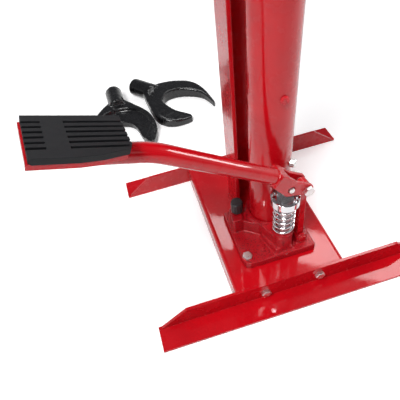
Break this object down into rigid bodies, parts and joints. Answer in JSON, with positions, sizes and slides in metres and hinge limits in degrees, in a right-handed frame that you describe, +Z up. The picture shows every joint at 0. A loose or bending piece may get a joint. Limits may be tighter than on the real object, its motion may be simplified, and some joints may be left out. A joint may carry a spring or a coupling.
{
  "type": "foot pedal coil spring compressor",
  "caption": "Floor-standing coil spring compressor: a foot pedal pumps a hydraulic ram that raises the lower arm toward the pinned upper arm, each arm taking a loose yoke.",
  "frame": {"origin": "on the floor, on the base centreline, where the front end of the base meets the front foot", "axes": "+Z up along the column, -Y toward the front where the arms point, +X along the feet to the side away from the pedal"},
  "size_m": [0.4688, 0.6522, 1.064],
  "materials": {
    "red_paint": "gloss",
    "red_casting": "semi-gloss over cast texture",
    "zinc": "bright zinc plate",
    "steel": "machined",
    "chrome": "polished",
    "rubber": "matt",
    "red_plastic": "gloss",
    "black_plastic": "satin",
    "nylon": "matt",
    "black_casting": "gloss over cast texture"
  },
  "bodies": {
    "frame": {"base_channel": "red_paint", "front_foot": "red_paint", "rear_foot": "red_paint", "foot_bolts": "zinc", "foot_nuts": "zinc", "column": "red_paint", "column_cap": "red_paint", "jack_base": "red_casting", "passage_plug": "zinc", "check_ball": "steel", "jack_bolts": "zinc", "jack_nuts": "zinc", "reservoir_tube": "red_paint", "inner_cylinder": "steel", "gland_nut": "red_paint", "rod_wiper": "rubber", "filler_plug": "red_plastic", "breather": "zinc", "pump_gland": "red_casting", "plunger_seal": "rubber", "return_spring": "chrome", "link_pin": "red_paint", "link_clip": "zinc", "upper_bracket": "red_paint", "upper_arm": "red_paint"},
    "link": {"link": "red_paint"},
    "lever": {"lever_head": "red_paint", "lever_tube": "red_paint", "pedal_plate": "red_paint", "pedal_pad": "rubber", "fulcrum_pin": "zinc", "fulcrum_nut": "zinc"},
    "plunger": {"plunger": "steel", "spring_cup": "chrome", "plunger_head": "steel", "plunger_pin": "zinc"},
    "carriage": {"ram_rod": "chrome", "ram_piston": "steel", "ram_seal": "rubber", "lower_arm": "red_paint", "carriage_sleeve": "red_paint", "wear_pads": "nylon"},
    "release": {"release_valve": "steel", "release_knob": "black_plastic"},
    "lock_pin": {"lock_pin": "zinc"},
    "right_yoke": {"right_yoke": "black_casting"},
    "left_yoke": {"left_yoke": "black_casting"}
  },
  "joints": [
    {"name": "pedal", "type": "hinge", "parent": "link", "child": "lever", "pos_m": [0.03102, 0.05109, 0.169], "axis": [0.1219, -0.9925, 0], "range_deg": [0, 28], "stiffness_Nm_per_rad": 60, "springref_deg": -20.05},
    {"name": "link_swing", "type": "hinge", "parent": "frame", "child": "link", "pos_m": [0.03399, 0.05145, 0.058], "axis": [-0.1219, 0.9925, 0], "range_deg": [0, 1.6]},
    {"name": "plunger_stroke", "type": "slide", "parent": "frame", "child": "plunger", "axis": [0, 0, -1], "range_m": [0, 0.013], "deforming": ["return_spring"]},
    {"name": "ram", "type": "slide", "parent": "frame", "child": "carriage", "axis": [0, 0, 1], "range_m": [0, 0.3]},
    {"name": "release_turn", "type": "hinge", "parent": "frame", "child": "release", "pos_m": [-0.042, 0.1085, 0.09], "axis": [0, 0, 1], "range_deg": [0, 360]},
    {"name": "lock_pin_pull", "type": "slide", "parent": "frame", "child": "lock_pin", "axis": [1, 0, 0], "range_m": [0, 0.115]},
    {"name": "right_yoke_lift", "type": "slide", "parent": "frame", "child": "right_yoke", "axis": [0, 0, 1], "range_m": [0, 0.2]},
    {"name": "left_yoke_lift", "type": "slide", "parent": "frame", "child": "left_yoke", "axis": [0, 0, 1], "range_m": [0, 0.2]}
  ],
  "couplings": [
    {"joint": "link_swing", "follows": "pedal", "ratio": 0.0512},
    {"joint": "plunger_stroke", "follows": "pedal", "m_per_rad": 0.025}
  ]
}
